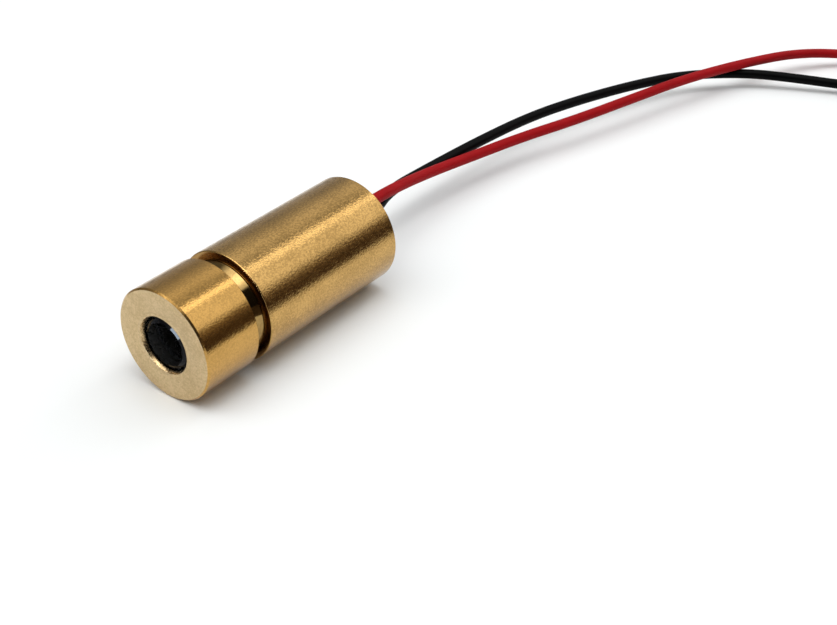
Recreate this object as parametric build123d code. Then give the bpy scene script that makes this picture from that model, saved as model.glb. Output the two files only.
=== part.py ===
from build123d import *
from math import cos, pi, radians, sin, sqrt, tan
import os

# A focusable laser diode module, lying on its side: a turned brass barrel, a brass lens cap that
# screws into its front end, the optics and driver inside, and two leads out of the rear end.
# The barrel's axis runs along Y, one body radius above the surface, with the beam towards -Y.
# The origin is on the surface, under the middle of the module's length. Millimetres.

# Brass body
body_diameter = 6.0          # cap head and barrel share one outside diameter
edge_break = 0.05            # chamfer on every turned edge
barrel_wall = 0.51           # round the threaded front bore
thread_depth = 3.85          # front bore, from the barrel's front face to the diode web
diode_web = 0.4              # web that the diode's stem is pressed against
rear_wall = 0.5              # round the driver pocket
pocket_depth = 4.58          # driver pocket, from the stem to the rear rim

# Lens cap
head_length = 3.45
focus_gap = 0.82             # open groove between the head and the barrel at rest
screw_clearance = 0.05       # radial, shank in bore
shank_length = 3.5
shank_wall = 0.4
lip_thickness = 0.22
lip_overhang = 0.54          # how far the front lip reaches in over the lens

# Collimating lens and its spring
lens_clearance = 0.02        # radial, lens in cap
flange_thickness = 1.0
front_sag = 0.16             # height of the front dome
rear_sag = 0.55              # height of the rear dome
dome_margin = 0.12           # flat ring between a dome and the aperture
spring_wire = 0.25
spring_play = 0.09           # radial, spring in cap
spring_end_gap = 0.02        # each end of the spring
spring_turns = 7

# Laser diode in its metal can
stem_diameter = 3.3
stem_thickness = 0.9
seat_clearance = 0.01        # radial, stem and glue in brass
can_diameter = 2.4
can_height = 1.5
can_wall = 0.12
can_clearance = 0.1          # radial, can through the web
window_opening = 0.9
window_overlap = 0.3         # radial, glass behind the can's front
window_thickness = 0.15
submount_width = 0.8
submount_drop = 0.7
submount_length = 0.85
chip_width = 0.25
chip_height = 0.12
chip_length = 0.3
photodiode_side = 0.5
photodiode_height = 0.15
photodiode_lift = 0.12       # clear of the submount's top
lead_diameter = 0.3
lead_spread = 0.5            # sideways from the axis, the two sealed leads
case_lead_offset = -0.35     # sideways, the lead welded to the stem
lead_inside = 0.35           # sealed leads in front of the stem
lead_reach = 1.45            # behind the stem
seal_wall = 0.16             # glass round a sealed lead

# Driver board
board_thickness = 0.6
board_side_gap = 0.05        # board edge to pocket
board_front_gap = 0.4        # stem to board
glue_recess = 0.2            # rear rim to the glue
glue_thickness = 0.7
glue_dish = 0.12             # meniscus depth
chip_part_length = 1.0       # resistor and capacitor
chip_part_width = 0.5
resistor_height = 0.35
capacitor_height = 0.5
chip_part_rear_gap = 0.2     # from the board's rear edge
resistor_offset = 0.4        # sideways
capacitor_offset = 1.15
transistor_length = 2.0
transistor_width = 1.25
transistor_height = 0.9
transistor_offset = 0.72     # sideways
transistor_rear_gap = 0.1
transistor_leg_width = 0.3
transistor_leg_reach = 0.25
transistor_leg_thickness = 0.12
transistor_leg_spread = 1.3  # between the two legs of one side
solder_length = 0.8
solder_width = 0.56
solder_height = 0.52
solder_round = 0.15
solder_film = 0.03           # under a lead, on the board
solder_cover = 0.1           # past the end of what it holds

# Leads
wire_diameter = 0.65
core_diameter = 0.3
core_length = 0.8            # bared end on the board
tip_diameter = 0.36
tip_length = 3.0             # tinned far end
red_pad_offset = -0.55       # sideways, on the board's upper face
black_pad_offset = -0.6      # sideways, on the board's lower face
exit_run = 2.4               # straight run out of the glue

# Coil of the stored length, wound clockwise as seen from above
coil_x = 18.35
coil_y = 50.0
coil_diameter = 7.05         # at the middle of the turns
turn_rise = 0.68
black_turns = 2.75
red_turns = 2.25
red_lift = 0.16              # the red lead joins a little above the black one
tie_thickness = 0.12
tie_angle = 26.0
tie_place = 45.0
tie_tail_diameter = 0.5
tie_tail_length = 2.2
tip_slope = 12.0             # the bared ends dip from the top of the coil

# Worked-out radii
body_radius = body_diameter / 2
axis_height = body_radius
bore_radius = body_radius - barrel_wall
shank_radius = bore_radius - screw_clearance
lens_pocket_radius = shank_radius - shank_wall
aperture_radius = lens_pocket_radius - lip_overhang
lens_radius = lens_pocket_radius - lens_clearance
pocket_radius = body_radius - rear_wall
stem_radius = stem_diameter / 2
can_radius = can_diameter / 2
lead_radius = lead_diameter / 2
wire_radius = wire_diameter / 2

# Worked-out stations along Y
barrel_length = thread_depth + diode_web + stem_thickness + pocket_depth
module_length = head_length + focus_gap + barrel_length
front = -module_length / 2
head_rear = front + head_length
barrel_front = head_rear + focus_gap
shank_rear = head_rear + shank_length
bore_floor = barrel_front + thread_depth
stem_front = bore_floor + diode_web
stem_rear = stem_front + stem_thickness
rear = stem_rear + pocket_depth
lens_front = front + lip_thickness
lens_rear = lens_front + flange_thickness
glue_rear = rear - glue_recess
glue_front = glue_rear - glue_thickness
board_front = stem_rear + board_front_gap
board_rear = glue_front

# Worked-out heights
board_top = axis_height + board_thickness / 2
board_bottom = axis_height - board_thickness / 2
upper_lead = board_top + solder_film + lead_radius
lower_lead = board_bottom - solder_film - lead_radius
red_height = board_top + solder_film + core_diameter / 2
black_height = board_bottom - solder_film - core_diameter / 2


def save(solid, node):
    export_step(solid, f"parts/{node}.step")


# A turned piece: its half section, in radius and Y, swept round the barrel's axis.
def turned(outline):
    section = make_face(outline)
    return Pos(0, 0, axis_height) * revolve(section, Axis.Y)


def turned_straight(points):
    return turned(Polyline(*points, close=True))


# A rod or tube along Y, from one station to another.
def rod(radius, start, end, x=0.0, z=axis_height):
    length = end - start
    return Pos(x, start + length / 2, z) * Rot(90, 0, 0) * Cylinder(radius, length)


def block(x_size, y_size, z_size, x, y, z):
    return Pos(x, y, z) * Box(x_size, y_size, z_size)


def lens_cap():
    return turned_straight([
        (aperture_radius + edge_break, front),
        (body_radius - edge_break, front),
        (body_radius, front + edge_break),
        (body_radius, head_rear - edge_break),
        (body_radius - edge_break, head_rear),
        (shank_radius, head_rear),
        (shank_radius, shank_rear - edge_break),
        (shank_radius - edge_break, shank_rear),
        (lens_pocket_radius, shank_rear),
        (lens_pocket_radius, lens_front),
        (aperture_radius, lens_front),
        (aperture_radius, front + edge_break),
    ])


def collimating_lens():
    dome_radius = aperture_radius - dome_margin
    front_pole = (0, lens_front - front_sag)
    rear_pole = (0, lens_rear + rear_sag)
    front_rim = (dome_radius, lens_front)
    rear_rim = (dome_radius, lens_rear)
    front_curve = (dome_radius ** 2 + front_sag ** 2) / (2 * front_sag)
    rear_curve = (dome_radius ** 2 + rear_sag ** 2) / (2 * rear_sag)
    front_dome = RadiusArc(front_pole, front_rim, -front_curve)
    rear_dome = RadiusArc(rear_rim, rear_pole, -rear_curve)
    edge = Polyline(front_rim, (lens_radius, lens_front), (lens_radius, lens_rear), rear_rim)
    axis_side = Line(rear_pole, front_pole)
    return turned(front_dome + edge + rear_dome + axis_side)


def lens_spring():
    mean_radius = lens_pocket_radius - spring_play - spring_wire / 2
    start = lens_rear + spring_end_gap + spring_wire / 2
    length = bore_floor - spring_end_gap - spring_wire / 2 - start
    path = Helix(
        pitch=length / spring_turns,
        height=length,
        radius=mean_radius,
        center=(0, start, axis_height),
        direction=(0, 1, 0),
    )
    section = Plane(origin=path @ 0, z_dir=path % 0) * Circle(spring_wire / 2)
    return sweep(section, path=path, is_frenet=True)


def barrel():
    web_hole = can_radius + can_clearance
    seat_radius = stem_radius + seat_clearance
    return turned_straight([
        (bore_radius + edge_break, barrel_front),
        (body_radius - edge_break, barrel_front),
        (body_radius, barrel_front + edge_break),
        (body_radius, rear - edge_break),
        (body_radius - edge_break, rear),
        (pocket_radius + edge_break, rear),
        (pocket_radius, rear - edge_break),
        (pocket_radius, stem_rear),
        (seat_radius, stem_rear),
        (seat_radius, stem_front),
        (web_hole, stem_front),
        (web_hole, bore_floor),
        (bore_radius, bore_floor),
        (bore_radius, barrel_front + edge_break),
    ])


def diode_stem():
    solid = rod(stem_radius, stem_front, stem_rear)
    for side in (-1, 1):
        solid -= rod(lead_radius + seal_wall, stem_front, stem_rear, side * lead_spread, upper_lead)
    return solid


def lead_seals():
    seals = []
    for side in (-1, 1):
        x = side * lead_spread
        seal = rod(lead_radius + seal_wall, stem_front, stem_rear, x, upper_lead)
        seals.append(seal - rod(lead_radius, stem_front, stem_rear, x, upper_lead))
    return Compound(seals)


def diode_leads():
    leads = []
    for side in (-1, 1):
        leads.append(rod(lead_radius, stem_front - lead_inside, stem_rear + lead_reach, side * lead_spread, upper_lead))
    leads.append(rod(lead_radius, stem_rear, stem_rear + lead_reach, case_lead_offset, lower_lead))
    return Compound(leads)


def diode_can():
    can_front = stem_front - can_height
    return turned_straight([
        (window_opening / 2, can_front),
        (can_radius - edge_break, can_front),
        (can_radius, can_front + edge_break),
        (can_radius, stem_front),
        (can_radius - can_wall, stem_front),
        (can_radius - can_wall, can_front + can_wall),
        (window_opening / 2, can_front + can_wall),
    ])


def diode_window():
    glass_front = stem_front - can_height + can_wall
    return rod(window_opening / 2 + window_overlap, glass_front, glass_front + window_thickness)


# The submount's top carries the chip, so that the chip's middle lies on the axis.
submount_top = axis_height - chip_height / 2


def chip_submount():
    height = submount_top - submount_drop / 2
    return block(submount_width, submount_length, submount_drop, 0, stem_front - submount_length / 2, height)


def laser_chip():
    chip_y = stem_front - submount_length + chip_length / 2
    return block(chip_width, chip_length, chip_height, 0, chip_y, axis_height)


def monitor_photodiode():
    height = submount_top + photodiode_lift + photodiode_side / 2
    middle = stem_front - photodiode_height / 2
    return block(photodiode_side, photodiode_height, photodiode_side, 0, middle, height)


def driver_board():
    half_width = sqrt(pocket_radius ** 2 - (board_thickness / 2) ** 2) - board_side_gap
    length = board_rear - board_front
    return block(2 * half_width, length, board_thickness, 0, board_front + length / 2, axis_height)


# A chip part on the board's upper face, with end caps a little proud of its body.
def chip_part(x, height):
    middle = board_rear - chip_part_rear_gap - chip_part_length / 2
    cap_length = chip_part_length / 4
    waist = chip_part_width * 0.9
    solid = block(waist, chip_part_length, height * 0.95, x, middle, board_top + height * 0.475)
    for side in (-1, 1):
        cap_y = middle + side * (chip_part_length - cap_length) / 2
        solid += block(chip_part_width, cap_length, height, x, cap_y, board_top + height / 2)
    return solid


# The transistor hangs under the board, with two legs on one side and one on the other.
def driver_transistor():
    middle = board_rear - transistor_rear_gap - transistor_length / 2
    solid = block(
        transistor_width, transistor_length, transistor_height,
        transistor_offset, middle, board_bottom - transistor_height / 2,
    )
    leg_z = board_bottom - transistor_leg_thickness / 2
    leg_x = (transistor_width + transistor_leg_reach) / 2
    for side, places in ((-1, (0,)), (1, (-0.5, 0.5))):
        for place in places:
            solid += block(
                transistor_leg_reach, transistor_leg_width, transistor_leg_thickness,
                transistor_offset + side * leg_x, middle + place * transistor_leg_spread, leg_z,
            )
    return solid


# A mound of solder on one face of the board, round what it holds.
def solder_mound(x, y, up, held):
    face = board_top if up > 0 else board_bottom
    mound = block(solder_width, solder_length, solder_height, x, y, face + up * solder_height / 2)
    outer = mound.faces().sort_by(Axis.Z)[-1 if up > 0 else 0]
    mound = fillet(mound.edges().filter_by(Axis.Z) + outer.edges(), solder_round)
    return mound - held


def solder_joints():
    lead_y = stem_rear + lead_reach + solder_cover - solder_length / 2
    core_y = board_rear - core_length - solder_cover + solder_length / 2
    joints = []
    for side in (-1, 1):
        joints.append(solder_mound(side * lead_spread, lead_y, 1, diode_leads()))
    joints.append(solder_mound(case_lead_offset, lead_y, -1, diode_leads()))
    joints.append(solder_mound(red_pad_offset, core_y, 1, wire_core(red_pad_offset, red_height)))
    joints.append(solder_mound(black_pad_offset, core_y, -1, wire_core(black_pad_offset, black_height)))
    return Compound(joints)


def wire_core(x, z):
    return rod(core_diameter / 2, board_rear - core_length, board_rear, x, z)


def rear_glue():
    radius = pocket_radius - seat_clearance
    dish = RadiusArc((0, glue_rear - glue_dish), (radius, glue_rear), (radius ** 2 + glue_dish ** 2) / (2 * glue_dish))
    sides = Polyline((radius, glue_rear), (radius, glue_front), (0, glue_front), (0, glue_rear - glue_dish))
    plug = turned(dish + sides)
    plug -= rod(wire_radius, glue_front, glue_rear, red_pad_offset, red_height)
    plug -= rod(wire_radius, glue_front, glue_rear, black_pad_offset, black_height)
    return plug


# Where a lead goes after its straight exit: both drop to the surface, cross twice and reach the coil.
coil_radius = coil_diameter / 2
black_turn_radius = coil_radius - wire_radius
red_turn_radius = coil_radius + wire_radius
coil_bottom = tie_thickness
black_join_height = coil_bottom + wire_radius
red_join_height = black_join_height + red_lift

red_route = [
    (red_pad_offset, glue_front, red_height),
    (red_pad_offset, rear + exit_run, red_height),
    (-0.95, 12.2, 3.05),
    (-1.22, 15.6, 2.44),
    (-0.95, 19.6, 1.98),
    (-0.17, 23.7, 1.85),
    (1.2, 28.0, 1.85),
    (2.5, 32.7, 1.93),
    (3.8, 37.7, 1.95),
    (5.4, 42.9, 1.7),
    (7.25, 48.1, 1.27),
    (10.0, 51.2, 0.85),
    (13.6, 53.3, 0.65),
    (coil_x, coil_y + red_turn_radius, red_join_height),
]

black_route = [
    (black_pad_offset, glue_front, black_height),
    (black_pad_offset, rear + exit_run, black_height),
    (-1.72, 12.19, 2.45),
    (-1.86, 15.79, 2.23),
    (-1.76, 21.16, 2.05),
    (-1.41, 26.49, 1.85),
    (-0.45, 31.08, 1.65),
    (1.1, 36.0, 1.45),
    (2.72, 39.92, 1.2),
    (5.74, 43.21, 1.0),
    (8.66, 44.77, 0.85),
    (12.0, 46.3, 0.65),
    (14.3, 47.6, 0.5),
    (coil_x - black_turn_radius, coil_y, black_join_height),
]


# Each corner of a lead is rounded as far as its two runs allow.
def corner_radii(route):
    radii = []
    for before, corner, after in zip(route, route[1:], route[2:]):
        run_in = Vector(*corner) - Vector(*before)
        run_out = Vector(*after) - Vector(*corner)
        half_turn = radians(run_in.get_angle(run_out)) / 2
        shorter = min(run_in.length, run_out.length)
        radii.append(0.45 * shorter / tan(half_turn))
    return radii


def lead_tube(name, route):
    radii = corner_radii(route)
    path = FilletPolyline(*route, radius=radii)
    section = Plane(origin=path @ 0, z_dir=path % 0) * Circle(wire_radius)
    tube = sweep(section, path=path)
    true_volume = pi * wire_radius ** 2 * path.length
    print(name, "radii", [round(radius, 1) for radius in radii])
    print(name, "length", round(path.length, 2), "volume", round(tube.volume / true_volume, 4), "of section times length")
    return tube


def coil_section(grow):
    inner = black_turn_radius - wire_radius - grow
    outer = red_turn_radius + wire_radius + grow
    bottom = coil_bottom - grow
    top = black_join_height + black_turns * turn_rise + wire_radius + grow
    corner = wire_radius + grow
    outline = Polyline((inner, bottom), (outer, bottom), (outer, top), (inner, top), close=True)
    section = make_face(outline)
    section = fillet(section.vertices(), corner)
    return Plane.XZ * section


def wire_coil():
    return Pos(coil_x, coil_y, 0) * revolve(coil_section(0), Axis.Z)


# A thin band round the turns, with its two ends twisted together outside.
def coil_tie():
    band = coil_section(tie_thickness) - coil_section(0)
    ring = Rot(0, 0, tie_place - tie_angle / 2) * revolve(band, Axis.Z, tie_angle)
    tail_start = red_turn_radius + wire_radius + tie_thickness / 2
    tail_z = coil_bottom + black_turns * turn_rise / 2 + wire_radius
    tail = Pos(tail_start + tie_tail_length / 2, 0, tail_z) * Rot(0, 90, 0) * Cylinder(tie_tail_diameter / 2, tie_tail_length)
    tail = Rot(0, 0, tie_place) * tail
    return Pos(coil_x, coil_y, 0) * (ring + (tail - revolve(coil_section(0), Axis.Z)))


# A bared and tinned end, leaving the top of the coil along its last turn.
def tinned_tip(turn_radius, end_angle, height):
    outside = sqrt((coil_radius + wire_diameter) ** 2 - turn_radius ** 2)
    angle = radians(end_angle)
    away = Vector(sin(angle), -cos(angle), 0)
    corner = Vector(coil_x + turn_radius * cos(angle), coil_y + turn_radius * sin(angle), height)
    start = corner + away * outside
    heading = away * cos(radians(tip_slope)) - Vector(0, 0, sin(radians(tip_slope)))
    return Plane(origin=start + heading * (tip_length / 2), z_dir=heading) * Cylinder(tip_diameter / 2, tip_length)


red_end_angle = 90 - 360 * red_turns
black_end_angle = 180 - 360 * black_turns
red_end_height = red_join_height + red_turns * turn_rise
black_end_height = black_join_height + black_turns * turn_rise

os.makedirs("parts", exist_ok=True)
save(lens_cap(), "lens_cap")
save(collimating_lens(), "collimating_lens")
save(lens_spring(), "lens_spring")
save(barrel(), "barrel")
save(diode_stem(), "diode_stem")
save(lead_seals(), "lead_seals")
save(diode_leads(), "diode_leads")
save(diode_can(), "diode_can")
save(diode_window(), "diode_window")
save(chip_submount(), "chip_submount")
save(laser_chip(), "laser_chip")
save(monitor_photodiode(), "monitor_photodiode")
save(driver_board(), "driver_board")
save(chip_part(resistor_offset, resistor_height), "current_resistor")
save(chip_part(capacitor_offset, capacitor_height), "filter_capacitor")
save(driver_transistor(), "driver_transistor")
save(solder_joints(), "solder_joints")
save(wire_core(red_pad_offset, red_height), "red_core")
save(wire_core(black_pad_offset, black_height), "black_core")
save(rear_glue(), "rear_glue")
save(lead_tube("red", red_route), "red_wire")
save(lead_tube("black", black_route), "black_wire")
save(wire_coil(), "wire_coil")
save(coil_tie(), "coil_tie")
save(tinned_tip(red_turn_radius, red_end_angle, red_end_height), "red_tip")
save(tinned_tip(black_turn_radius, black_end_angle, black_end_height), "black_tip")
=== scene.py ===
from math import cos, pi, radians, sin

import bmesh
import bpy
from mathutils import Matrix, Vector


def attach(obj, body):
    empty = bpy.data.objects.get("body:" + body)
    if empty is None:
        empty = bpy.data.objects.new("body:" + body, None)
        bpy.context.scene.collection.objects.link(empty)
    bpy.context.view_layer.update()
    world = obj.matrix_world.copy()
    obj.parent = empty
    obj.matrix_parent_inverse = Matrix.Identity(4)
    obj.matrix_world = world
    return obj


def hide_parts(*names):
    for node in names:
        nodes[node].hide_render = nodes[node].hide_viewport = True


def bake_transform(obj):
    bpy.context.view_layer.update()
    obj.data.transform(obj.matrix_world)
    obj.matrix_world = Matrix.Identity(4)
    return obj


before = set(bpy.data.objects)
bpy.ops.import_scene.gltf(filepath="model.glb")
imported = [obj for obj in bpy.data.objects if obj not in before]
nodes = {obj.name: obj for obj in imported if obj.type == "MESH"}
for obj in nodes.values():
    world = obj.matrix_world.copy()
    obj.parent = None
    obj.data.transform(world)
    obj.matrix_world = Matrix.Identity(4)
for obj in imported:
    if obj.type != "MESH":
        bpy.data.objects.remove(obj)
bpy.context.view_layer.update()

mm = 0.001
axisZ = 3.0 * mm  # height of the module's axis above the floor
samePlace = 0.002 * mm  # points nearer than this count as one place
mergeWithin = 0.0002 * mm
faceSlack = 0.01  # mm, for picking faces by their middle
facing = 0.9  # a face looks along Y where its normal's Y is past this
print("frame loaded,", len(nodes), "nodes")


def toObjectMode():
    if bpy.context.object and bpy.context.object.mode != "OBJECT":
        bpy.ops.object.mode_set(mode="OBJECT")


def clearSelection():
    toObjectMode()
    bpy.ops.object.select_all(action="DESELECT")


def makeActive(piece):
    clearSelection()
    piece.select_set(True)
    bpy.context.view_layer.objects.active = piece


# edit mode only: selects the points, edges or faces that pass a test
def pick(piece, kind, test):
    bpy.ops.mesh.select_all(action="DESELECT")
    bpy.ops.mesh.select_mode(type={"verts": "VERT", "edges": "EDGE", "faces": "FACE"}[kind])
    mesh = bmesh.from_edit_mesh(piece.data)
    for part in getattr(mesh, kind):
        if test(part):
            part.select_set(True)
    mesh.select_flush_mode()
    bmesh.update_edit_mesh(piece.data)


def isAt(point, *places):
    return min((point.co - place).length for place in places) < samePlace


# a face's middle, in mm: how far it is from the module's axis, and where along it
def faceRadius(face):
    middle = face.calc_center_median()
    return (Vector((middle.x, 0, middle.z)) - Vector((0, 0, axisZ))).length / mm


def faceY(face):
    return face.calc_center_median().y / mm


def applyModifier(piece, kind, **values):
    makeActive(piece)
    modifier = piece.modifiers.new(kind.title(), kind)
    for key, value in values.items():
        setattr(modifier, key, value)
    bpy.ops.object.modifier_apply(modifier=modifier.name)


# a point of a half section, in mm, in the plane level with the module's axis
def besideAxis(radius, y):
    return Vector((radius * mm, y * mm, axisZ))


# draws a line point by point, and leaves it in edit mode
def drawLine(name, places, closed):
    clearSelection()
    bpy.ops.mesh.primitive_plane_add(size=mm)
    piece = bpy.context.object
    piece.name = piece.data.name = name
    bpy.ops.object.mode_set(mode="EDIT")
    bpy.ops.mesh.select_mode(type="VERT")
    bpy.ops.mesh.select_all(action="SELECT")
    bpy.ops.mesh.merge(type="CENTER")
    bpy.ops.transform.translate(value=places[0])
    for here, there in zip(places, places[1:]):
        bpy.ops.mesh.extrude_vertices_move(TRANSFORM_OT_translate={"value": there - here})
    if closed:
        pick(piece, "verts", lambda v: isAt(v, places[0], places[-1]))
        bpy.ops.mesh.edge_face_add()
    return piece


# draws a round wire along control points, and leaves it a curve
def drawWire(name, places, diameter, lineSteps, sideSteps):
    clearSelection()
    curve = bpy.data.curves.new(name, "CURVE")
    curve.dimensions = "3D"
    curve.bevel_depth = diameter / 2 * mm
    curve.bevel_resolution = sideSteps
    curve.use_fill_caps = True
    spline = curve.splines.new("NURBS")
    spline.points.add(len(places) - 1)
    for point, place in zip(spline.points, places):
        point.co = (*(part * mm for part in place), 1)
    spline.order_u = 3
    spline.use_endpoint_u = True
    spline.resolution_u = lineSteps
    wire = bpy.data.objects.new(name, curve)
    bpy.context.scene.collection.objects.link(wire)
    return wire


# rounds the corners of a drawn line, listed as (place, size), before it is spun
def roundCorners(piece, corners, segments):
    for place, size in corners:
        pick(piece, "verts", lambda v: isAt(v, place))
        bpy.ops.mesh.bevel(offset=size * mm, offset_type="OFFSET", segments=segments,
                           affect="VERTICES")


# merges doubles, turns the faces outwards and shades the piece, from edit mode
def closeMesh(piece, sharpFrom=40):
    bpy.ops.mesh.select_all(action="SELECT")
    bpy.ops.mesh.remove_doubles(threshold=mergeWithin)
    bpy.ops.mesh.normals_make_consistent(inside=False)
    makeActive(piece)
    bpy.ops.object.shade_smooth_by_angle(angle=radians(sharpFrom))


def spinRound(piece, steps, sharpFrom=40):
    bpy.ops.mesh.select_all(action="SELECT")
    bpy.ops.mesh.spin(steps=steps, angle=2 * pi, center=(0, 0, axisZ), axis=(0, 1, 0))
    closeMesh(piece, sharpFrom)
    applyModifier(piece, "WEIGHTED_NORMAL", keep_sharp=True)


# winds a drawn line round an axis through a place, with an end face on each open end
def windRound(piece, place, axis, turns, rise, steps):
    toObjectMode()
    bpy.ops.object.empty_add(location=place)
    pole = bpy.context.object
    applyModifier(piece, "SCREW", object=pole, axis=axis, angle=2 * pi * turns, screw_offset=rise,
                  steps=steps, render_steps=steps)
    bpy.data.objects.remove(pole)
    makeActive(piece)
    bpy.ops.object.mode_set(mode="EDIT")
    bpy.ops.mesh.select_all(action="SELECT")
    bpy.ops.mesh.fill_holes(sides=0)
    closeMesh(piece)


def giveMaterial(piece, material):
    piece.data.materials.clear()
    piece.data.materials.append(material)


# puts a further finish on the faces that pass a test
def giveFaces(piece, material, test):
    makeActive(piece)
    piece.data.materials.append(material)
    piece.active_material_index = len(piece.data.materials) - 1
    bpy.ops.object.mode_set(mode="EDIT")
    pick(piece, "faces", test)
    bpy.ops.object.material_slot_assign()
    bpy.ops.object.mode_set(mode="OBJECT")


# gives a shader socket a plain value or another node's output
def feed(tree, value, socket):
    if isinstance(value, bpy.types.NodeSocket):
        tree.links.new(value, socket)
    else:
        socket.default_value = value


# feeds a node's inputs, named with _ for a space
def feedInputs(tree, node, **inputs):
    for key, value in inputs.items():
        feed(tree, value, node.inputs[key.replace("_", " ")])


def addNode(tree, kind, **inputs):
    node = tree.nodes.new(kind)
    feedInputs(tree, node, **inputs)
    return node


def mathNode(tree, operation, first, second):
    node = tree.nodes.new("ShaderNodeMath")
    node.operation = operation
    feed(tree, first, node.inputs[0])
    feed(tree, second, node.inputs[1])
    return node.outputs[0]


# a factor between two colours, each a plain colour or another node's output
def blendColors(tree, factor, first, second):
    mix = tree.nodes.new("ShaderNodeMix")
    mix.data_type = "RGBA"
    feed(tree, factor, mix.inputs[0])
    for socket, color in ((mix.inputs[6], first), (mix.inputs[7], second)):
        feed(tree, (*color, 1) if isinstance(color, tuple) else color, socket)
    return mix.outputs[2]


# spreads the middle of a noise's values over a range
def spread(tree, value, low, high, start=0.3, end=0.7):
    node = addNode(tree, "ShaderNodeMapRange", Value=value, From_Min=start, From_Max=end,
                   To_Min=low, To_Max=high)
    return node.outputs["Result"]


def bumpFrom(tree, height, distance):
    node = addNode(tree, "ShaderNodeBump", Height=height, Strength=1.0, Distance=distance)
    return node.outputs["Normal"]


noiseSettings = {"Detail": 2, "Roughness": 0.6}


def stretchedNoise(tree, place, scale, stretch=(1, 1, 1)):
    mapping = addNode(tree, "ShaderNodeMapping", Vector=place, Scale=stretch)
    noise = addNode(tree, "ShaderNodeTexNoise", Vector=mapping.outputs["Vector"], Scale=scale,
                    **noiseSettings)
    return noise.outputs["Fac"]


# a node group that takes a place and numbers, and puts out numbers
def newGroup(name, inputs, outputs):
    group = bpy.data.node_groups.new(name, "ShaderNodeTree")
    sockets = group.interface
    sockets.new_socket("Vector", in_out="INPUT", socket_type="NodeSocketVector")
    for label, value in inputs.items():
        socket = sockets.new_socket(label, in_out="INPUT", socket_type="NodeSocketFloat")
        socket.default_value = value
    for label in outputs:
        sockets.new_socket(label, in_out="OUTPUT", socket_type="NodeSocketFloat")
    given = group.nodes.new("NodeGroupInput").outputs
    made = group.nodes.new("NodeGroupOutput").inputs
    return group, given, made


def useGroup(tree, group, **inputs):
    node = tree.nodes.new("ShaderNodeGroup")
    node.node_tree = group
    feedInputs(tree, node, **inputs)
    return node.outputs


grainSettings = {
    "inputs": {"Speckle Scale": 11000.0, "Ring Scale": 9000.0, "Line Scale": 9000.0,
               "Ring Share": 0.4, "Line Share": 0.5},
    "speckleStretch": (1, 0.8, 1), "ringStretch": (0.03, 1, 0.03), "lineStretch": (1, 0.25, 1),
    "cloudScale": 900, "cloudStretch": (1, 0.5, 1), "cloudTone": 0.3, "speckleTone": 0.7,
}


# grain of worked metal: speckle, rings left by turning and lines left by drawing the bar
def buildMetalGrain():
    s = grainSettings
    group, given, made = newGroup("metalGrain", s["inputs"], ("Speckle", "Height", "Tone"))
    place = given["Vector"]
    speckle = stretchedNoise(group, place, given["Speckle Scale"], s["speckleStretch"])
    rings = stretchedNoise(group, place, given["Ring Scale"], s["ringStretch"])
    lines = stretchedNoise(group, place, given["Line Scale"], s["lineStretch"])
    cloud = stretchedNoise(group, place, s["cloudScale"], s["cloudStretch"])
    ringed = mathNode(group, "MULTIPLY", rings, given["Ring Share"])
    lined = mathNode(group, "MULTIPLY", lines, given["Line Share"])
    height = mathNode(group, "ADD", mathNode(group, "ADD", ringed, lined), speckle)
    clouded = mathNode(group, "MULTIPLY", cloud, s["cloudTone"])
    speckled = mathNode(group, "MULTIPLY", speckle, s["speckleTone"])
    feed(group, speckle, made["Speckle"])
    feed(group, height, made["Height"])
    feed(group, mathNode(group, "ADD", clouded, speckled), made["Tone"])
    return group


pitSettings = {"inputs": {"Scale": 3600.0, "Size": 0.1}, "rareFrom": 0.7}


# small dark pits scattered over a surface, in a few of the cells
def buildPits():
    s = pitSettings
    group, given, made = newGroup("pits", s["inputs"], ("Mask",))
    cells = addNode(group, "ShaderNodeTexVoronoi", Vector=given["Vector"], Scale=given["Scale"],
                    Randomness=1.0)
    near = mathNode(group, "LESS_THAN", cells.outputs["Distance"], given["Size"])
    tint = addNode(group, "ShaderNodeSeparateColor", Color=cells.outputs["Color"])
    rare = mathNode(group, "GREATER_THAN", tint.outputs["Red"], s["rareFrom"])
    feed(group, mathNode(group, "MULTIPLY", near, rare), made["Mask"])
    return group


metalGrain = buildMetalGrain()
pits = buildPits()


def startMaterial(name, **sockets):
    material = bpy.data.materials.new(name)
    material.use_nodes = True
    tree = material.node_tree
    shader = tree.nodes["Principled BSDF"]
    feedInputs(tree, shader, **sockets)
    place = tree.nodes.new("ShaderNodeTexCoord").outputs["Object"]
    return material, tree, shader, place


def buildBrass(name, bright, dull, pit, rough, grainDepth, ringShare=0.15, lineShare=0.6,
               pitSize=0.08):
    material, tree, shader, place = startMaterial(name, Metallic=1.0)
    grain = useGroup(tree, metalGrain, Vector=place, Ring_Share=ringShare, Line_Share=lineShare)
    specks = useGroup(tree, pits, Vector=place, Size=pitSize)
    tone = spread(tree, grain["Tone"], 0, 1, start=0.4, end=0.6)
    feedInputs(
        tree, shader,
        Base_Color=blendColors(tree, specks["Mask"], blendColors(tree, tone, dull, bright), pit),
        Roughness=spread(tree, grain["Speckle"], *rough),
        Normal=bumpFrom(tree, grain["Height"], grainDepth * mm),
    )
    return material


# plain finish with a little colour drift, uneven gloss and fine relief
def buildFinish(name, color, shade, rough, scale=5000, depth=0.001, **sockets):
    material, tree, shader, place = startMaterial(name, **sockets)
    cloud = stretchedNoise(tree, place, scale / 8)  # the drift is 8 times as coarse
    fine = stretchedNoise(tree, place, scale)
    feedInputs(
        tree, shader,
        Base_Color=blendColors(tree, spread(tree, cloud, 0, 1), shade, color),
        Roughness=spread(tree, fine, *rough),
        Normal=bumpFrom(tree, fine, depth * mm),
    )
    return material


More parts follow.
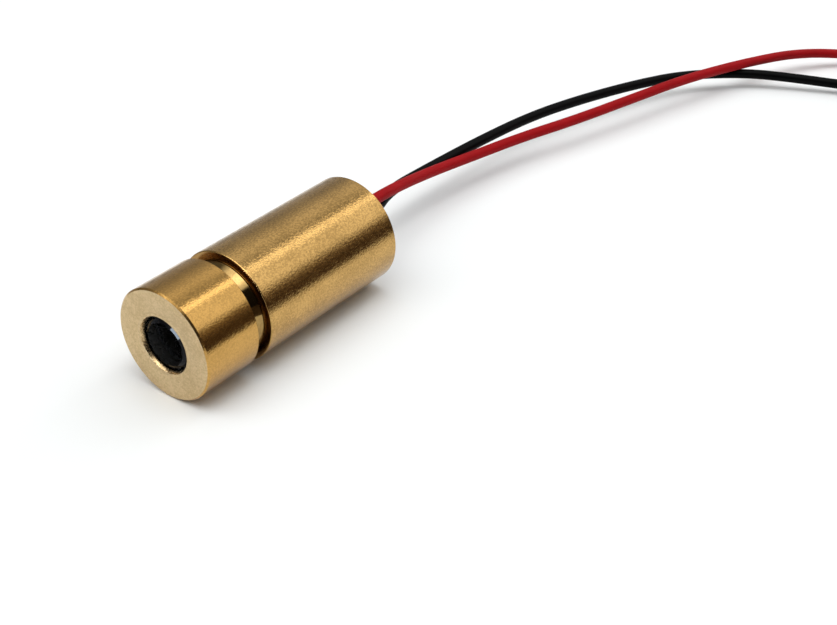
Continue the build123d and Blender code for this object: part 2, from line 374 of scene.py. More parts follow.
# clear glass or plastic with a little haze
def buildClear(name, haze, hazeScale, **sockets):
    material, tree, shader, place = startMaterial(name, Transmission_Weight=1.0, **sockets)
    cloud = stretchedNoise(tree, place, hazeScale)
    feedInputs(tree, shader, Roughness=spread(tree, cloud, 0.0, haze))
    return material


# the barrel's and cap's brass, from the outside in
brassSettings = {
    "turnedBrass": {
        "bright": (0.63, 0.385, 0.13), "dull": (0.4, 0.24, 0.078), "pit": (0.24, 0.145, 0.05),
        "rough": (0.11, 0.24), "grainDepth": 0.01, "lineShare": 0.3,
    },
    "capBrass": {
        "bright": (0.6, 0.345, 0.1), "dull": (0.46, 0.265, 0.077), "pit": (0.3, 0.17, 0.05),
        "rough": (0.11, 0.2), "grainDepth": 0.006, "lineShare": 0.3,
    },
    "facedBrass": {
        "bright": (0.65, 0.49, 0.28), "dull": (0.5, 0.362, 0.186), "pit": (0.37, 0.26, 0.13),
        "rough": (0.42, 0.55), "grainDepth": 0.0012, "ringShare": 0.1, "lineShare": 0.1,
        "pitSize": 0.09,
    },
    # painted shade: the neck deep in the groove, and the thread, get darker brass than the outside
    "shadedNeckBrass": {
        "bright": (0.36, 0.235, 0.085), "dull": (0.3, 0.19, 0.068), "pit": (0.2, 0.125, 0.045),
        "rough": (0.06, 0.11), "grainDepth": 0.0008, "ringShare": 1.0, "lineShare": 0.0,
        "pitSize": 0.04,
    },
    # painted shade: the groove's end faces, the head's rear and the barrel's front, get darker
    # brass
    "shadedShoulderBrass": {
        "bright": (0.39, 0.232, 0.08), "dull": (0.33, 0.19, 0.065), "pit": (0.22, 0.125, 0.045),
        "rough": (0.16, 0.24), "grainDepth": 0.0004, "ringShare": 0.2, "lineShare": 0.0,
        "pitSize": 0.03,
    },
    "lipBrass": {
        "bright": (0.66, 0.49, 0.27), "dull": (0.34, 0.23, 0.11), "pit": (0.2, 0.13, 0.06),
        "rough": (0.16, 0.36), "grainDepth": 0.004, "ringShare": 0.4, "lineShare": 0.2,
        "pitSize": 0.05,
    },
    # painted shade: the inside of the bore and of the cap's pocket is near-black brass
    "shadedBoreBrass": {
        "bright": (0.1, 0.06, 0.022), "dull": (0.05, 0.03, 0.012), "pit": (0.03, 0.02, 0.01),
        "rough": (0.25, 0.4), "grainDepth": 0.004, "ringShare": 2.0, "lineShare": 0.0,
    },
}
brass = {name: buildBrass(name, **look) for name, look in brassSettings.items()}
print("brass finishes made")

# lens cap: head with the aperture, tapered neck in the groove, threaded shank behind it
capSettings = {
    "front": -7.0, "headRear": -3.55, "headRadius": 3.0,
    "mouth": 1.55, "aperture": 1.455, "seat": -6.78, "pocket": 2.04,
    "neckFront": 2.21, "taperRear": -2.76, "neck": 2.5, "neckRear": -2.55,
    "threadRoot": 2.3, "shankRear": -0.05,
    "ring": 1.74, "ringWidth": 0.03, "ringDepth": 0.012,  # faint ring left round the hole
    "edge": 0.09, "rearEdge": 0.09, "holeEdge": 0.03, "holeSegments": 3, "steps": 256,
}


def makeLensCap():
    s = capSettings
    section = [
        (s["mouth"], s["front"]),
        (s["ring"] - s["ringWidth"], s["front"]),
        (s["ring"], s["front"] + s["ringDepth"]),
        (s["ring"] + s["ringWidth"], s["front"]),
        (s["headRadius"], s["front"]),
        (s["headRadius"], s["headRear"]),
        (s["neckFront"], s["headRear"]),
        (s["neck"], s["taperRear"]),
        (s["neck"], s["neckRear"]),
        (s["threadRoot"], s["neckRear"] + s["neck"] - s["threadRoot"]),
        (s["threadRoot"], s["shankRear"]),
        (s["pocket"], s["shankRear"]),
        (s["pocket"], s["seat"]),
        (s["aperture"], s["seat"]),
    ]
    cap = drawLine("lensCap", [besideAxis(*point) for point in section], True)
    roundCorners(cap, [
        (besideAxis(s["headRadius"], s["front"]), s["edge"]),
        (besideAxis(s["headRadius"], s["headRear"]), s["rearEdge"]),
    ], 1)
    roundCorners(cap, [
        (besideAxis(s["mouth"], s["front"]), s["holeEdge"]),
        (besideAxis(s["aperture"], s["seat"]), s["holeEdge"]),
    ], s["holeSegments"])
    spinRound(cap, s["steps"])
    # the taper's rear end is a sharp line
    taperRear = s["taperRear"] * mm
    bpy.ops.object.mode_set(mode="EDIT")
    pick(cap, "edges", lambda e: all(abs(v.co.y - taperRear) < samePlace for v in e.verts))
    bpy.ops.mesh.mark_sharp()
    bpy.ops.object.mode_set(mode="OBJECT")
    giveMaterial(cap, brass["capBrass"])
    giveFaces(cap, brass["facedBrass"],
              lambda f: f.normal.y < -facing and faceY(f) < s["front"] + s["ringDepth"])
    giveFaces(cap, brass["lipBrass"],
              lambda f: f.normal.y > -facing and faceY(f) < s["seat"]
              and faceRadius(f) < s["mouth"] + s["holeEdge"])
    # painted shade: the neck and shank in the groove get the darkened brass
    giveFaces(cap, brass["shadedNeckBrass"],
              lambda f: faceRadius(f) > s["pocket"] + faceSlack
              and faceY(f) > s["headRear"] - faceSlack)
    # painted shade: the head's rear face, in the groove, gets darker brass
    giveFaces(cap, brass["shadedShoulderBrass"],
              lambda f: f.normal.y > facing and faceRadius(f) > s["neckFront"])
    # painted shade: the pocket behind the lens gets near-black brass
    giveFaces(cap, brass["shadedBoreBrass"],
              lambda f: faceRadius(f) < s["pocket"] + faceSlack
              and faceY(f) > s["seat"] - faceSlack)
    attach(cap, "cap")
    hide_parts("lens_cap")


makeLensCap()
print("lens cap turned")

threadSettings = {
    "root": 2.27, "crest": 2.46, "start": -2.05, "turns": 3, "pitch": 0.5,
    "rootHalf": 0.23, "crestHalf": 0.05, "steps": 288,
}


# one tooth of the cap's thread, wound along the shank
def makeThread():
    s = threadSettings
    tooth = [
        (s["root"], -s["rootHalf"]),
        (s["crest"], -s["crestHalf"]),
        (s["crest"], s["crestHalf"]),
        (s["root"], s["rootHalf"]),
    ]
    places = [besideAxis(radius, s["start"] + y) for radius, y in tooth]
    thread = drawLine("capThread", places, True)
    rise = s["turns"] * s["pitch"] * mm
    windRound(thread, (0, 0, axisZ), "Y", s["turns"], rise, s["steps"])
    # painted shade: the thread takes the neck's darkened brass
    giveMaterial(thread, brass["shadedNeckBrass"])
    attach(thread, "cap")


makeThread()
print("thread wound")

barrelSettings = {
    "front": -2.73, "rear": 7.0, "radius": 3.0, "bore": 2.53, "boreFloor": 1.12,
    "webHole": 1.3, "stemFront": 1.52, "stemSeat": 1.66, "stemRear": 2.42, "pocket": 2.5,
    "frontEdge": 0.06, "frontSegments": 3, "rearEdge": 0.09, "boreEdge": 0.015, "boreSegments": 2,
    # the bore's near-black brass, painted shade, reaches out to this radius
    "boreShadeTo": 2.535, "steps": 256,
}


def makeBarrel():
    s = barrelSettings
    section = [
        (s["bore"], s["front"]),
        (s["radius"], s["front"]),
        (s["radius"], s["rear"]),
        (s["pocket"], s["rear"]),
        (s["pocket"], s["stemRear"]),
        (s["stemSeat"], s["stemRear"]),
        (s["stemSeat"], s["stemFront"]),
        (s["webHole"], s["stemFront"]),
        (s["webHole"], s["boreFloor"]),
        (s["bore"], s["boreFloor"]),
    ]
    places = [besideAxis(*point) for point in section]
    barrel = drawLine("barrelBody", places, True)
    roundCorners(barrel, [(places[1], s["frontEdge"])], s["frontSegments"])
    roundCorners(barrel, [(places[2], s["rearEdge"])], 1)
    roundCorners(barrel, [(places[0], s["boreEdge"]), (places[3], s["boreEdge"])],
                 s["boreSegments"])
    spinRound(barrel, s["steps"])
    giveMaterial(barrel, brass["turnedBrass"])
    # painted shade: the barrel's front face, in the groove, gets darker brass
    giveFaces(barrel, brass["shadedShoulderBrass"],
              lambda f: f.normal.y < -facing and faceY(f) < s["front"] + faceSlack)
    # painted shade: the bore up to the stem seat gets near-black brass
    giveFaces(barrel, brass["shadedBoreBrass"],
              lambda f: faceRadius(f) < s["boreShadeTo"]
              and faceY(f) < s["stemFront"] + faceSlack)
    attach(barrel, "housing")
    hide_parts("barrel")


makeBarrel()
print("barrel turned")

lensSettings = {
    "front": -6.78, "rear": -5.78, "radius": 2.02, "rearDome": 1.38, "rearSag": 0.55,
    "frontDome": 1.16, "frontSag": 0.06, "shoulder": 1.33, "shoulderRise": 0.1,
    "arcPoints": 14, "steps": 128, "sharpFrom": 20,
    # painted shade: the lens's dark blue-grey tint makes the hole behind it look black
    "clear": {  # coated, so it shines little: a low index stands in for that
        "Base_Color": (0.2, 0.21, 0.26, 1), "IOR": 1.08, "Specular_Tint": (0.1, 0.1, 0.14, 1),
        "haze": 0.03, "hazeScale": 1500,
    },
    # painted shade: the slope's near-black colour stands in for the dark barrel seen through it;
    # its glint is the lamp's own reflection
    "slope": {  # less well coated, so the lamp ahead glints in it
        "color": (0.006, 0.006, 0.008), "shade": (0.004, 0.004, 0.006), "rough": (0.02, 0.04),
        "scale": 3000, "depth": 0.0, "IOR": 1.22,
    },
}


def makeLens():
    s = lensSettings

    # a dome's section, from its pole to its rim
    def domeArc(rim, plane, sag, side):
        curve = (rim ** 2 + sag ** 2) / (2 * sag)
        points = []
        for step in range(s["arcPoints"] + 1):
            radius = rim * step / s["arcPoints"]
            height = (curve ** 2 - radius ** 2) ** 0.5 - (curve - sag)
            points.append((radius, plane + side * height))
        return points

    section = domeArc(s["frontDome"], s["front"] - s["shoulderRise"], s["frontSag"], -1)
    section += [(s["shoulder"], s["front"]), (s["radius"], s["front"]), (s["radius"], s["rear"])]
    section += reversed(domeArc(s["rearDome"], s["rear"], s["rearSag"], 1))
    lens = drawLine("lens", [besideAxis(*point) for point in section], False)
    spinRound(lens, s["steps"], s["sharpFrom"])
    giveMaterial(lens, buildClear("lensPlastic", **s["clear"]))
    # the slope is the cone between the front dome and the flat shoulder
    giveFaces(lens, buildFinish("lensSlope", **s["slope"]),
              lambda f: s["frontDome"] < faceRadius(f) < s["shoulder"] and faceY(f) < s["front"])
    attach(lens, "lens_carrier")
    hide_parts("collimating_lens")


makeLens()
print("lens made")

springSettings = {
    "radius": 1.825, "wire": 0.25, "front": -5.635, "rear": 0.975, "turns": 7,
    "endTurns": 0.9, "endPitch": 1.02,  # closed turns, this many wires apart
    "turnPoints": 16, "lineSteps": 2, "sideSteps": 3, "sharpFrom": 50,
    # painted shade: the spring's steel is darkened so the inside of the barrel looks black
    "steel": {"color": (0.12, 0.12, 0.125), "shade": (0.07, 0.07, 0.075), "rough": (0.2, 0.34),
              "scale": 9000, "depth": 0.0015, "Metallic": 1.0},
}


# compression spring with closed end turns, between the lens and the diode's web
def makeSpring():
    s = springSettings
    endRise = s["wire"] * s["endPitch"]
    midTurns = s["turns"] - 2 * s["endTurns"]
    midRise = (s["rear"] - s["front"] - 2 * s["endTurns"] * endRise) / midTurns
    places = []
    for step in range(s["turns"] * s["turnPoints"] + 1):
        turn = step / s["turnPoints"]
        openTurns = min(max(turn - s["endTurns"], 0), midTurns)
        y = s["front"] + (turn - openTurns) * endRise + openTurns * midRise
        angle = 2 * pi * turn
        places.append((s["radius"] * cos(angle), y, axisZ / mm + s["radius"] * sin(angle)))
    makeActive(drawWire("lensSpring", places, s["wire"], s["lineSteps"], s["sideSteps"]))
    bpy.ops.object.convert(target="MESH")
    spring = bpy.context.object
    bpy.ops.object.shade_smooth_by_angle(angle=radians(s["sharpFrom"]))
    giveMaterial(spring, buildFinish("shadedSpringSteel", **s["steel"]))
    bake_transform(spring)
    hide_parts("lens_spring")


makeSpring()
print("spring wound")

glueSettings = {
    "front": 6.1, "rim": 6.8, "radius": 2.485, "dish": 0.1, "rings": 9, "steps": 96,
    "meniscus": 0.16, "meniscusShare": 0.4, "meniscusPower": 10,
    "exits": [(-0.55, 3.48), (-0.6, 2.52)], "exitRadius": 0.4,  # where the leads come out
    "collar": 0.11, "collarReach": 0.75, "collarFrom": 6.2,
    "resin": {"color": (0.012, 0.012, 0.013), "shade": (0.02, 0.019, 0.018),
              "rough": (0.22, 0.42), "scale": 2600, "depth": 0.006, "Specular_IOR_Level": 0.45},
}


# resin plug, drawn up a little where it wets the brass and the two leads
def makeRearGlue():
    s = glueSettings
    section = [(0, s["front"]), (s["radius"], s["front"]), (s["radius"], s["rim"])]
    for step in range(1, s["rings"] + 1):
        share = 1 - step / s["rings"]
        climb = s["meniscus"] * s["meniscusShare"] * (1 - share ** s["meniscusPower"])
        sink = s["dish"] * (1 - share ** 2) + climb
        section.append((s["radius"] * share, s["rim"] - min(sink, s["meniscus"])))
    glue = drawLine("rearGlue", [besideAxis(*point) for point in section], False)
    spinRound(glue, s["steps"])
    bpy.ops.object.mode_set(mode="EDIT")
    for x, z in s["exits"]:
        exitPlace = Vector((x * mm, 0, z * mm))
        pick(glue, "verts", lambda v: v.co.y > s["collarFrom"] * mm
             and (Vector((v.co.x, 0, v.co.z)) - exitPlace).length < s["exitRadius"] * mm)
        bpy.ops.transform.translate(
            value=(0, s["collar"] * mm, 0), use_proportional_edit=True,
            proportional_edit_falloff="SHARP", proportional_size=s["collarReach"] * mm)
    bpy.ops.object.mode_set(mode="OBJECT")
    giveMaterial(glue, buildFinish("blackResin", **s["resin"]))
    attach(glue, "housing")
    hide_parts("rear_glue")


makeRearGlue()
print("rear resin poured")

# leads: one smooth line each, out of the resin, past the view's edge and round the coil
leadSettings = {
    "diameter": 0.65, "lineSteps": 8, "sideSteps": 6,
    "coilX": 18.35, "coilY": 50.0, "turnPoints": 16, "turnRise": 0.68,
}
redSettings = {
    "route": [
        (-0.55, 6.1, 3.48), (-0.55, 9.4, 3.48), (-0.95, 12.2, 3.05), (-1.22, 15.6, 2.44),
        (-0.95, 19.6, 1.98), (-0.17, 23.7, 1.85), (1.2, 28.0, 1.85), (2.5, 32.7, 1.93),
        (3.8, 37.7, 1.95), (5.4, 42.9, 1.7), (7.25, 48.1, 1.27), (10.0, 51.2, 0.85),
        (13.6, 53.3, 0.65),
    ],
    "coil": {"radius": 3.85, "from": 90, "turns": 2.25, "z": 0.605, "endRun": 1.6},
    "sheath": {"color": (0.33, 0.006, 0.009), "shade": (0.28, 0.005, 0.007),
               "rough": (0.42, 0.55), "Specular_IOR_Level": 0.05},
}
blackSettings = {
    "route": [
        (-0.6, 6.1, 2.52), (-0.6, 9.4, 2.52), (-1.72, 12.19, 2.45), (-1.86, 15.79, 2.23),
        (-1.76, 21.16, 2.05), (-1.41, 26.49, 1.85), (-0.45, 31.08, 1.65), (1.1, 36.0, 1.45),
        (2.72, 39.92, 1.2), (5.74, 43.21, 1.0), (8.66, 44.77, 0.85), (12.0, 46.3, 0.65),
        (14.3, 47.6, 0.5),
    ],
    "coil": {"radius": 3.2, "from": 180, "turns": 2.75, "z": 0.445, "endRun": 2.68},
    "sheath": {"color": (0.0012, 0.0012, 0.0013), "shade": (0.0008, 0.0008, 0.0009),
               "rough": (0.4, 0.52), "Specular_IOR_Level": 0.05},
}


# the coil's turns, clockwise from above, and the short straight end that leaves them
def coilPoints(coil):
    s = leadSettings
    reach = coil["radius"] / cos(pi / s["turnPoints"])  # the line runs inside its control points
    points = []
    for step in range(round(coil["turns"] * s["turnPoints"]) + 1):
        turn = step / s["turnPoints"]
        angle = radians(coil["from"] - 360 * turn)
        points.append((s["coilX"] + reach * cos(angle), s["coilY"] + reach * sin(angle),
                       coil["z"] + s["turnRise"] * turn))
    x = s["coilX"] + coil["radius"] * cos(angle)
    y = s["coilY"] + coil["radius"] * sin(angle)
    z = points[-1][2]
    points[-1] = (x, y, z)
    for run in (coil["endRun"] / 2, coil["endRun"]):
        points.append((x + sin(angle) * run, y - cos(angle) * run, z))
    return points


def layLead(name, sheathName, own):
    s = leadSettings
    places = own["route"] + coilPoints(own["coil"])
    lead = drawWire(name, places, s["diameter"], s["lineSteps"], s["sideSteps"])
    giveMaterial(lead, buildFinish(sheathName, **own["sheath"]))
    return lead


redLead = layLead("redLead", "redSheath", redSettings)
blackLead = layLead("blackLead", "blackSheath", blackSettings)
for lead, own, slotName in ((redLead, "red", "wire_red"), (blackLead, "black", "wire_black")):
    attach(lead, "housing")
    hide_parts(own + "_wire", "wire_coil")

tipSettings = {
    "strand": 0.12, "strands": 6, "sides": 10, "length": 3.0, "twist": 0.9, "steps": 36,
    "droop": 12,
    "redStart": (22.2, 48.4, 2.135), "redHeading": (0, -1),
    "blackStart": (15.67, 46.8, 2.315), "blackHeading": (-1, 0),
    "tin": {"color": (0.66, 0.65, 0.63), "shade": (0.55, 0.53, 0.5), "rough": (0.22, 0.4),
            "scale": 9000, "depth": 0.002, "Metallic": 1.0},
}
tinned = buildFinish("tinnedCopper", **tipSettings["tin"])


# a bared end: strands twisted round a middle one, and tinned
def makeTip(name, own, node):
    s = tipSettings
    start, heading = s[own + "Start"], s[own + "Heading"]
    strandRadius = s["strand"] / 2 * mm
    clearSelection()
    bpy.ops.mesh.primitive_circle_add(vertices=s["sides"], radius=strandRadius)
    tip = bpy.context.object
    tip.name = tip.data.name = name
    bpy.ops.object.mode_set(mode="EDIT")
    for strand in range(s["strands"]):
        angle = 2 * pi * strand / s["strands"]
        place = (s["strand"] * cos(angle) * mm, s["strand"] * sin(angle) * mm, 0)
        bpy.ops.mesh.primitive_circle_add(vertices=s["sides"], radius=strandRadius, location=place)
    windRound(tip, (0, 0, 0), "Z", s["twist"], s["length"] * mm, s["steps"])
    droop = radians(s["droop"])
    lean = Vector((heading[0] * cos(droop), heading[1] * cos(droop), -sin(droop)))
    tip.rotation_euler = lean.to_track_quat("Z", "Y").to_euler()
    tip.location = [part * mm for part in start]
    bpy.ops.object.transform_apply(location=True, rotation=True, scale=True)
    giveMaterial(tip, tinned)
    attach(tip, "housing")
    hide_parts(node)
    return tip


tieSettings = {
    "inner": 2.875, "outer": 4.175, "low": 0.22, "high": 2.54, "thickness": 0.12,
    "corner": 0.4, "cornerSegments": 6, "place": 45, "arc": 26, "steps": 10,
    "tailWidth": 0.46, "tailStart": 4.2, "tailEnd": 6.435, "tailZ": 1.38,
    "tailTurns": 1.6, "tailSteps": 28,
    "paper": {"color": (0.78, 0.77, 0.73), "shade": (0.7, 0.69, 0.65), "rough": (0.6, 0.8),
              "scale": 4000, "depth": 0.004, "Specular_IOR_Level": 0.25},
}


# twist tie: a flat band round the coil's turns, and its two ends twisted together
def makeTie():
    s = tieSettings
    coilPlace = Vector((leadSettings["coilX"] * mm, leadSettings["coilY"] * mm, 0))
    firstAngle = radians(s["place"] + s["arc"] / 2)  # the spin runs clockwise
    outward = Vector((cos(firstAngle), sin(firstAngle), 0))
    inner, outer = s["inner"] - s["thickness"], s["outer"] + s["thickness"]
    low, high = s["low"] - s["thickness"], s["high"] + s["thickness"]
    corners = [
        coilPlace + outward * radius * mm + Vector((0, 0, z * mm))
        for radius, z in ((inner, low), (outer, low), (outer, high), (inner, high))
    ]
    tie = drawLine("coilTie", corners, True)
    roundCorners(tie, [(corner, s["corner"]) for corner in corners], s["cornerSegments"])
    bpy.ops.mesh.select_all(action="SELECT")
    bpy.ops.mesh.spin(steps=s["steps"], angle=radians(s["arc"]), center=coilPlace, axis=(0, 0, 1))
    closeMesh(tie)
    applyModifier(tie, "SOLIDIFY", thickness=s["thickness"] * mm, offset=-1)
    # the tail: two crossed strips, twisted and stood outwards
    clearSelection()
    bpy.ops.mesh.primitive_cube_add(size=1)
    tail = bpy.context.object
    length = (s["tailEnd"] - s["tailStart"]) * mm
    tail.scale = (s["tailWidth"] * mm, s["thickness"] * mm, length)
    bpy.ops.object.transform_apply(scale=True)
    bpy.ops.object.mode_set(mode="EDIT")
    pick(tail, "edges", lambda e: abs(e.verts[0].co.z - e.verts[1].co.z) > length / 2)
    bpy.ops.mesh.subdivide(number_cuts=s["tailSteps"])
    bpy.ops.mesh.select_all(action="SELECT")
    bpy.ops.mesh.duplicate_move()
    bpy.ops.transform.rotate(value=pi / 2, orient_axis="Z", center_override=(0, 0, 0))
    bpy.ops.object.mode_set(mode="OBJECT")
    applyModifier(tail, "SIMPLE_DEFORM", deform_method="TWIST", deform_axis="Z",
                  angle=2 * pi * s["tailTurns"])
    outward = Vector((cos(radians(s["place"])), sin(radians(s["place"])), 0))
    middle = (s["tailStart"] + s["tailEnd"]) / 2
    tail.rotation_euler = outward.to_track_quat("Z", "Y").to_euler()
    tail.location = coilPlace + outward * middle * mm + Vector((0, 0, s["tailZ"] * mm))
    bpy.ops.object.transform_apply(location=True, rotation=True, scale=True)
    tie.select_set(True)
    bpy.context.view_layer.objects.active = tie
    bpy.ops.object.join()
    giveMaterial(tie, buildFinish("paperTie", **s["paper"]))
    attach(tie, "housing")
    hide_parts("coil_tie")
    return tie


redTip = makeTip("redTip", "red", "red_tip")
blackTip = makeTip("blackTip", "black", "black_tip")
coilTie = makeTie()
print("leads laid")

# finishes of the CAD nodes that keep their shape, all inside the barrel
innerFinishes = {
    "goldPlate": {
        "color": (0.78, 0.55, 0.2), "shade": (0.7, 0.48, 0.16), "rough": (0.16, 0.28),
        "scale": 9000, "depth": 0.001, "Metallic": 1.0,
    },
    # nickel's own colour, darkened as painted shade so the can looks dark through the lens
    "shadedNickelPlate": {
        "color": (0.4, 0.37, 0.32), "shade": (0.32, 0.3, 0.26), "rough": (0.2, 0.32),
        "scale": 9000, "depth": 0.001, "Metallic": 1.0,
    },
    "sealGlass": {
        "color": (0.05, 0.08, 0.06), "shade": (0.03, 0.05, 0.04), "rough": (0.08, 0.16),
        "scale": 6000, "depth": 0.001, "Specular_IOR_Level": 0.5,
    },
    "chipCoat": {
        "color": (0.05, 0.05, 0.06), "shade": (0.03, 0.03, 0.04), "rough": (0.1, 0.2),
        "scale": 20000, "depth": 0.0003, "Metallic": 0.4,
    },
    "photoCoat": {
        "color": (0.03, 0.035, 0.09), "shade": (0.02, 0.025, 0.06), "rough": (0.08, 0.16),
        "scale": 20000, "depth": 0.0003, "Specular_IOR_Level": 0.6,
    },
    "solderMask": {
        "color": (0.015, 0.12, 0.045), "shade": (0.01, 0.09, 0.035), "rough": (0.3, 0.42),
        "scale": 5000, "depth": 0.003, "Specular_IOR_Level": 0.5,
    },
    "firedFilm": {
        "color": (0.02, 0.02, 0.022), "shade": (0.012, 0.012, 0.013), "rough": (0.35, 0.5),
        "scale": 7000, "depth": 0.002,
    },
    "firedCeramic": {
        "color": (0.42, 0.27, 0.14), "shade": (0.36, 0.22, 0.11), "rough": (0.45, 0.6),
        "scale": 7000, "depth": 0.002,
    },
    "mouldedBlack": {
        "color": (0.015, 0.015, 0.016), "shade": (0.01, 0.01, 0.011), "rough": (0.5, 0.65),
        "scale": 9000, "depth": 0.003,
    },
    "flowedSolder": {
        "color": (0.68, 0.68, 0.69), "shade": (0.58, 0.58, 0.59), "rough": (0.14, 0.3),
        "scale": 4000, "depth": 0.004, "Metallic": 1.0,
    },
    "bareCopper": {
        "color": (0.7, 0.36, 0.21), "shade": (0.6, 0.3, 0.17), "rough": (0.2, 0.34),
        "scale": 9000, "depth": 0.002, "Metallic": 1.0,
    },
}
windowSettings = {"Base_Color": (0.95, 0.98, 0.98, 1), "IOR": 1.5, "haze": 0.02, "hazeScale": 2500}
innerNodes = {
    "goldPlate": ["diode_stem", "diode_leads", "chip_submount"],
    "shadedNickelPlate": ["diode_can"],
    "sealGlass": ["lead_seals"],
    "windowGlass": ["diode_window"],
    "chipCoat": ["laser_chip"],
    "photoCoat": ["monitor_photodiode"],
    "solderMask": ["driver_board"],
    "firedFilm": ["current_resistor"],
    "firedCeramic": ["filter_capacitor"],
    "mouldedBlack": ["driver_transistor"],
    "flowedSolder": ["solder_joints"],
    "bareCopper": ["red_core", "black_core"],
}


def finishInner():
    made = {name: buildFinish(name, **look) for name, look in innerFinishes.items()}
    made["windowGlass"] = buildClear("windowGlass", **windowSettings)
    for name, finished in innerNodes.items():
        for node in finished:
            for slot in nodes[node].material_slots:
                slot.material = made[name]


finishInner()
print("inner parts finished")

# floor, studio light and camera
floorSettings = {
    "size": 8.0, "drop": 0.01, "color": (0.86, 0.88, 0.88), "shade": 0.985, "cloudScale": 60,
    "board": {"Roughness": 0.9, "Specular_IOR_Level": 0.1},
}


def makeFloor():
    s = floorSettings
    clearSelection()
    bpy.ops.mesh.primitive_plane_add(size=s["size"], location=(0, 0, -s["drop"] * mm))
    floor = bpy.context.object
    floor.name = "floor"
    material, tree, shader, place = startMaterial("whiteBoard", **s["board"])
    cloud = spread(tree, stretchedNoise(tree, place, s["cloudScale"]), 0, 1)
    shaded = tuple(part * s["shade"] for part in s["color"])
    feedInputs(tree, shader, Base_Color=blendColors(tree, cloud, shaded, s["color"]))
    giveMaterial(floor, material)


makeFloor()


# leaves a stage piece to reflections only
def onlyReflected(piece):
    piece.visible_camera = piece.visible_diffuse = False
    piece.visible_shadow = piece.visible_transmission = False


cardSettings = {
    "front": -44, "rear": 44, "height": 7, "shade": 0.9, "rough": (0.8, 0.9), "scale": 400,
    "sides": {"brownCard": (18.5, (0.075, 0.045, 0.026)), "greyCard": (-21.6, (0.55, 0.55, 0.55))},
}


# a low card beside the module, for the metal to reflect
def makeCard(name, x, color):
    s = cardSettings
    clearSelection()
    bpy.ops.mesh.primitive_plane_add(size=mm)
    card = bpy.context.object
    card.name = card.data.name = name
    bpy.ops.object.mode_set(mode="EDIT")
    bpy.ops.mesh.select_all(action="SELECT")
    bpy.ops.transform.rotate(value=pi / 2, orient_axis="Y", center_override=(0, 0, 0))
    bpy.ops.transform.resize(value=(1, s["rear"] - s["front"], s["height"]))
    middleY = (s["front"] + s["rear"]) / 2
    bpy.ops.transform.translate(value=(x * mm, middleY * mm, s["height"] / 2 * mm))
    bpy.ops.object.mode_set(mode="OBJECT")
    shaded = tuple(part * s["shade"] for part in color)
    giveMaterial(card, buildFinish(name, color, shaded, s["rough"], s["scale"]))
    onlyReflected(card)


for cardName, (cardX, cardColor) in cardSettings["sides"].items():
    makeCard(cardName, cardX, cardColor)

lampSettings = {
    "path": [(7.2, -66.5, 1.3), (1.9, -66.7, 8.0), (-4.2, -66.0, 12.9), (-11.2, -64.4, 16.4),
             (-15.5, -63.0, 17.8)],
    "across": (1.35, 0, 2.0), "color": (0.72, 0.85, 1.0), "glow": 40.0,
    "rough": (0.8, 0.9), "scale": 400,
}


# a small bent strip lamp far ahead, for the lens to reflect
def makeLamp():
    s = lampSettings
    across = Vector(s["across"]) * mm
    places = [Vector(place) * mm - across / 2 for place in s["path"]]
    lamp = drawLine("stripLamp", places, False)
    bpy.ops.mesh.select_all(action="SELECT")
    bpy.ops.mesh.extrude_edges_move(TRANSFORM_OT_translate={"value": across})
    bpy.ops.object.mode_set(mode="OBJECT")
    giveMaterial(lamp, buildFinish("lampLight", s["color"], s["color"], s["rough"], s["scale"],
                                   Emission_Color=(*s["color"], 1), Emission_Strength=s["glow"]))
    onlyReflected(lamp)


makeLamp()

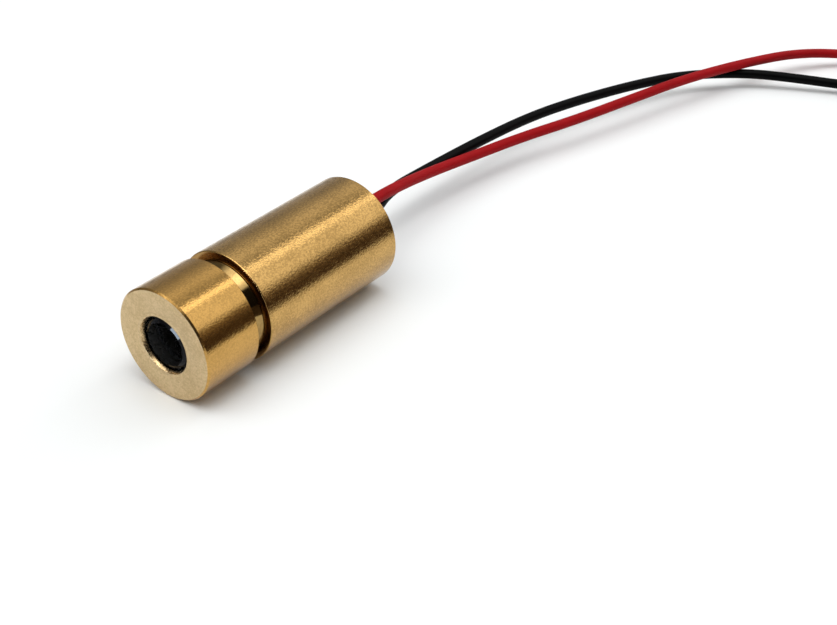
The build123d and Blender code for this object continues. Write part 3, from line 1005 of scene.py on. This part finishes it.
# the world's light runs in strips along the module's axis, in zones from -Y to +Y:
# (degrees round the axis from +X, brightness)
worldSettings = {
    "strength": 4.2, "warmth": (1.0, 0.78, 0.6), "warmTo": 24,  # the low dark side is brownish
    "zoneEdges": (-0.62, -0.17, 0.25), "blend": 0.06,
    "zones": [
        [(0, 0.04), (76, 0.08), (90, 0.9), (140, 0.9), (152, 0.12), (180, 0.1)],
        [(0, 0.03), (44, 0.06), (58, 0.6), (70, 2.8), (125, 2.8), (135, 0.6), (150, 0.25),
         (180, 0.2)],
        [(0, 0.01), (51, 0.02), (56, 1.5), (64, 2.4), (70, 4.2), (86, 4.2), (92, 2.6), (104, 2.2),
         (112, 1.3), (120, 0.5), (126, 0.2), (180, 0.12)],
        [(0, 0.05), (8, 0.1), (16, 0.13), (24, 0.24), (29, 0.55), (35, 1.2), (48, 1.26), (60, 1.2),
         (71, 1.12), (75, 2.9), (79, 2.9), (83, 0.9), (89, 0.5), (95, 0.52), (104, 0.78),
         (114, 0.93), (127, 0.68), (143, 0.43), (156, 0.33), (180, 0.46)],
    ],
}


def makeWorld():
    s = worldSettings
    world = bpy.data.worlds.new("studio")
    bpy.context.scene.world = world
    world.use_nodes = True
    tree = world.node_tree
    direction = tree.nodes.new("ShaderNodeTexCoord").outputs["Generated"]
    parts = addNode(tree, "ShaderNodeSeparateXYZ", Vector=direction).outputs
    share = mathNode(tree, "DIVIDE", mathNode(tree, "ARCTAN2", parts["Z"], parts["X"]), pi)
    light = None
    for stops, edge in zip(s["zones"], (None, *s["zoneEdges"])):
        ramp = addNode(tree, "ShaderNodeValToRGB", Fac=share)
        elements = ramp.color_ramp.elements
        while len(elements) < len(stops):
            elements.new(0.5)
        for element, (degrees, level) in zip(elements, stops):
            element.position = degrees / 180
        # the colours go on once every stop is in its place
        for element, (degrees, level) in zip(elements, stops):
            tint = s["warmth"] if degrees <= s["warmTo"] else (1, 1, 1)
            element.color = (*(level / s["strength"] * part for part in tint), 1)
        zone = ramp.outputs["Color"]
        if light is None:
            light = zone
        else:
            further = spread(tree, parts["Y"], 0, 1, edge - s["blend"], edge + s["blend"])
            light = blendColors(tree, further, light, zone)
    feedInputs(tree, tree.nodes["Background"], Color=light, Strength=s["strength"])


makeWorld()

cameraSettings = {
    "place": (41.503, -41.302, 39.712), "tilt": 90 - 33.571, "turn": 37.486,
    "focalPixels": 1355.74, "frameWidth": 837, "sensor": 36.0, "clip": (0.001, 20),
}


def makeCamera():
    s = cameraSettings
    data = bpy.data.cameras.new("camera")
    data.sensor_fit = "HORIZONTAL"
    data.sensor_width = s["sensor"]
    data.lens = s["sensor"] * s["focalPixels"] / s["frameWidth"]
    data.clip_start, data.clip_end = s["clip"]
    data.dof.use_dof = False
    camera = bpy.data.objects.new("camera", data)
    bpy.context.scene.collection.objects.link(camera)
    camera.location = [part * mm for part in s["place"]]
    camera.rotation_euler = (radians(s["tilt"]), 0, radians(s["turn"]))
    bpy.context.scene.camera = camera


makeCamera()
bpy.context.scene.view_settings.view_transform = "Standard"
print("floor, light and camera set")
